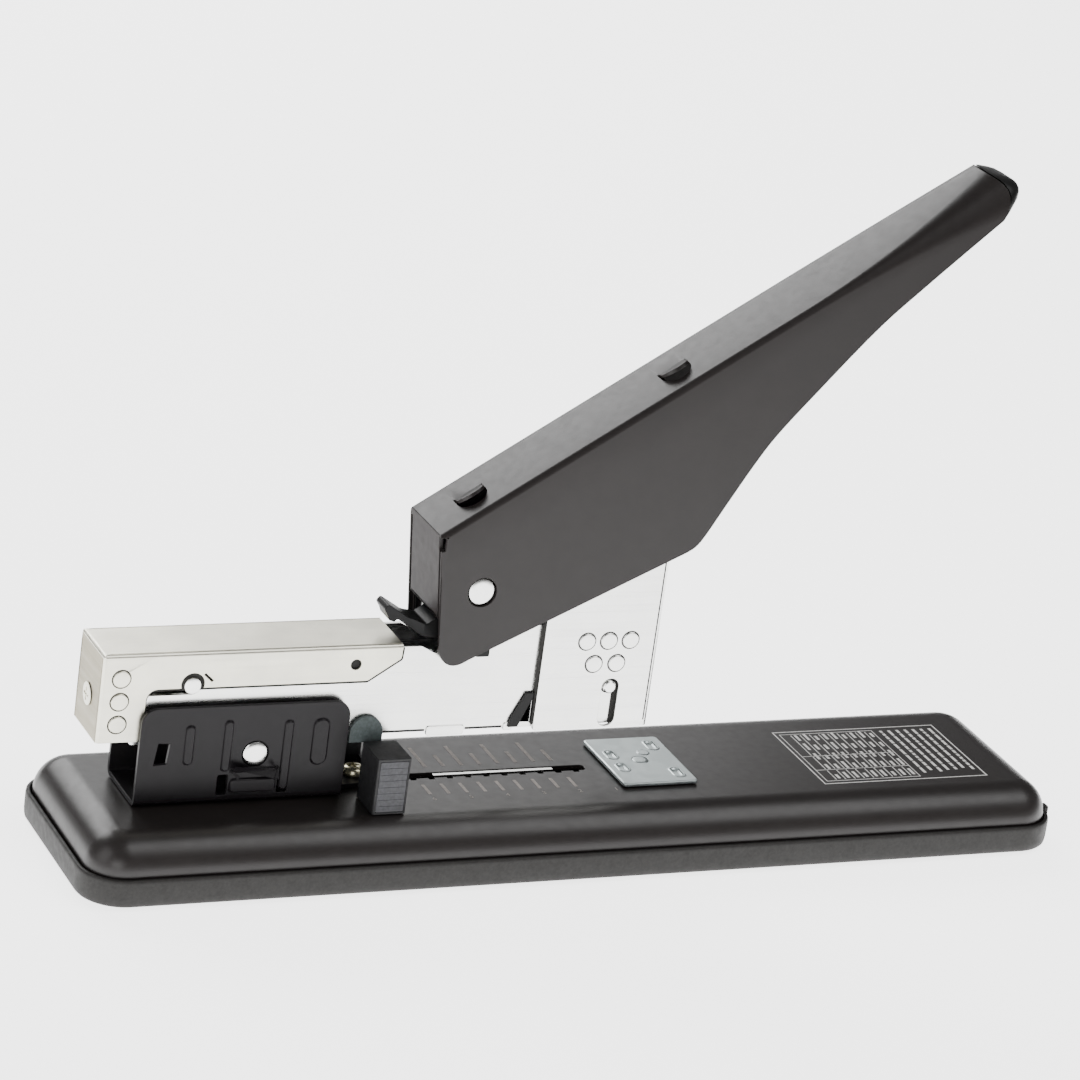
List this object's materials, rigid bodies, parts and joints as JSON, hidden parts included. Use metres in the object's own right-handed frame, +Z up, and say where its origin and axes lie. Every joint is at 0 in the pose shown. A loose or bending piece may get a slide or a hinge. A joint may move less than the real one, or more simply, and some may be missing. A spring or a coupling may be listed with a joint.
{
  "type": "heavy-duty desk stapler",
  "caption": "long-base heavy-duty desk stapler with lever handle over a hinged magazine, turning anvil plate and sliding paper guide",
  "frame": {"origin": "centre of the underside, on the plane of the rubber feet", "axes": "+X to the grip end and the paper, +Y to the far side, +Z up"},
  "size_m": [0.268, 0.0624, 0.178],
  "materials": {
    "black_paint": "satin black enamel on pressed steel, slightly warm, soft reflections",
    "black_powder": "matt black powder coat with a fine pebble texture",
    "black_plastic": "fine-textured black moulded plastic",
    "rubber": "soft black rubber",
    "nickel": "bright nickel plate on pressed steel, faint brushing",
    "zinc": "grey zinc plate, satin",
    "warm_zinc": "warm beige zinc plate, satin",
    "steel": "plain oiled steel",
    "yellow_zinc": "yellow passivated zinc"
  },
  "bodies": {
    "base": {"base_tray": "black_plastic", "base_shell": "black_paint", "rubber_foot_1": "rubber", "rubber_foot_2": "rubber", "rubber_foot_3": "rubber", "rubber_foot_4": "rubber", "base_screw_1": "steel", "base_screw_2": "steel", "base_screw_3": "steel", "base_screw_4": "steel", "anvil_seat": "steel", "bracket_plate": "steel", "guide_rail": "nickel", "pivot_bracket": "black_paint", "ear_screw": "yellow_zinc", "rear_screw": "yellow_zinc", "pivot_pin": "nickel", "lift_spring": "steel", "anvil_spring": "steel"},
    "guide": {"paper_guide": "black_plastic", "guide_clip": "steel"},
    "anvil": {"anvil_plate": "zinc", "anvil_stud": "steel"},
    "magazine": {"magazine_frame": "nickel", "staple_rail": "steel", "head_housing": "nickel", "head_stud_near": "nickel", "head_stud_far": "nickel", "pivot_washer_near": "black_plastic", "pivot_washer_far": "black_plastic", "handle_pin": "nickel", "latch_pin": "steel", "spring_saddle": "black_plastic", "anti_jam_spring": "black_paint", "latch_spring": "steel"},
    "handle": {"handle_shell": "black_powder", "handle_stiffener": "steel", "handle_end_cap": "black_plastic", "handle_return_spring": "steel"},
    "driver": {"driver_blade": "steel", "driver_carrier": "zinc", "driver_roller": "steel", "roller_pin": "steel"},
    "cover": {"rear_cover": "warm_zinc", "cover_cross_pin": "nickel", "cover_tail_block": "black_plastic", "cover_tail_screw": "warm_zinc", "follower_rod": "steel", "follower_spring": "steel"},
    "follower": {"staple_follower": "black_plastic"},
    "latch": {"release_latch": "black_paint"}
  },
  "joints": [
    {"name": "magazine_hinge", "type": "hinge", "parent": "base", "child": "magazine", "pos_m": [-0.0872, 0, 0.0305], "axis": [0, 1, 0], "range_deg": [0, 7.3], "stiffness_Nm_per_rad": 3, "springref_deg": -14.32, "deforming": ["lift_spring"]},
    {"name": "handle_hinge", "type": "hinge", "parent": "magazine", "child": "handle", "pos_m": [-0.0324, 0, 0.0715], "axis": [0, 1, 0], "range_deg": [0, 19], "stiffness_Nm_per_rad": 0.6, "springref_deg": -28.65, "deforming": ["handle_return_spring"]},
    {"name": "driver_slide", "type": "slide", "parent": "magazine", "child": "driver", "axis": [0, 0, -1], "range_m": [0, 0.0142]},
    {"name": "cover_slide", "type": "slide", "parent": "magazine", "child": "cover", "axis": [-1, 0, 0], "range_m": [0, 0.06]},
    {"name": "follower_slide", "type": "slide", "parent": "cover", "child": "follower", "axis": [-1, 0, 0], "range_m": [0, 0.09], "stiffness_N_per_m": 30, "springref_m": -0.06, "deforming": ["follower_spring"]},
    {"name": "latch_hinge", "type": "hinge", "parent": "magazine", "child": "latch", "pos_m": [-0.0366, 0, 0.0602], "axis": [0, -1, 0], "range_deg": [0, 12], "stiffness_Nm_per_rad": 0.05, "springref_deg": -20.05, "deforming": ["latch_spring"]},
    {"name": "guide_slide", "type": "slide", "parent": "base", "child": "guide", "axis": [1, 0, 0], "range_m": [0, 0.052]},
    {"name": "anvil_turn", "type": "hinge", "parent": "base", "child": "anvil", "pos_m": [0.0234, 0, 0.0174], "axis": [0, 0, 1], "range_deg": [0, 180]}
  ],
  "couplings": [
    {"joint": "driver_slide", "follows": "handle_hinge", "m_per_rad": 0.0424}
  ]
}
